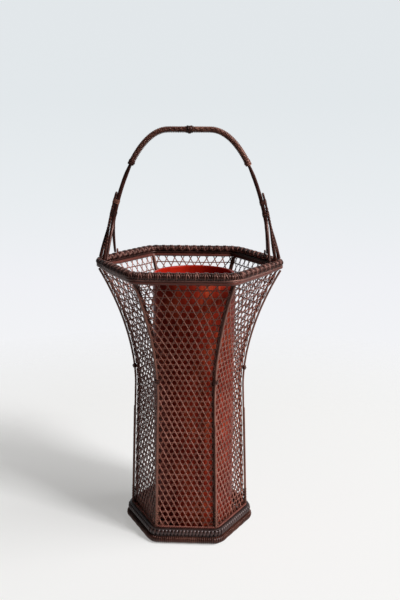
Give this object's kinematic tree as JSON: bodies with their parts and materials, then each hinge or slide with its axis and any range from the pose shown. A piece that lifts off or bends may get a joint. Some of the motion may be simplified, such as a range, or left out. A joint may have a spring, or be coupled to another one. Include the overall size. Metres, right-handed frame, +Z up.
{
  "type": "handled flower basket",
  "caption": "Tall six-sided openwork bamboo flower basket, flared at the mouth, with an arched handle and a loose inner tube.",
  "frame": {"origin": "centre of the hexagon in the plane that the foot stands on", "axes": "+Z up; two corners of the hexagon and the handle's arch lie on the X axis; -Y is the front side"},
  "size_m": [0.2088, 0.1864, 0.4475],
  "materials": {
    "weave": "stained split bamboo strips, satin",
    "rib": "stained split bamboo, satin",
    "rim": "stained split cane binding, satin",
    "hoop": "reddish stained bamboo hoop, satin",
    "foot": "dark stained cane binding, satin",
    "cane": "stained cane, smooth",
    "wrap": "stained split cane lashing",
    "tube": "red-brown lacquered bamboo"
  },
  "bodies": {
    "basket": {"wall_front": "weave", "wall_front_right": "weave", "wall_back_right": "weave", "wall_back": "weave", "wall_back_left": "weave", "wall_front_left": "weave", "floor_weave": "weave", "floor_lath_front": "rib", "floor_lath_back": "rib", "rib_right": "rib", "rib_back_right": "rib", "rib_back_left": "rib", "rib_left": "rib", "rib_front_left": "rib", "rib_front_right": "rib", "inner_rib_right": "rib", "inner_rib_back_right": "rib", "inner_rib_back_left": "rib", "inner_rib_left": "rib", "inner_rib_front_left": "rib", "inner_rib_front_right": "rib", "rib_tie_right": "wrap", "rib_tie_back_right": "wrap", "rib_tie_back_left": "wrap", "rib_tie_left": "wrap", "rib_tie_front_left": "wrap", "rib_tie_front_right": "wrap", "rim_roll": "rim", "rim_outer_hoop": "hoop", "rim_inner_hoop": "hoop", "foot_roll": "foot", "foot_beads": "foot", "foot_cord": "hoop", "handle_cane_front": "cane", "handle_cane_back": "cane", "grip_knot": "wrap", "grip_end_knot_left": "wrap", "grip_end_knot_right": "wrap", "grip_winding_left": "wrap", "grip_winding_right": "wrap", "corner_leg_left": "cane", "corner_leg_right": "cane", "leg_lashing_left_upper": "wrap", "leg_lashing_left_lower": "wrap", "leg_lashing_right_upper": "wrap", "leg_lashing_right_lower": "wrap"},
    "tube": {"liner_tube": "tube"}
  },
  "joints": [
    {"name": "tube_lift", "type": "slide", "parent": "basket", "child": "tube", "axis": [0, 0, 1], "range_m": [0, 0.125]}
  ]
}
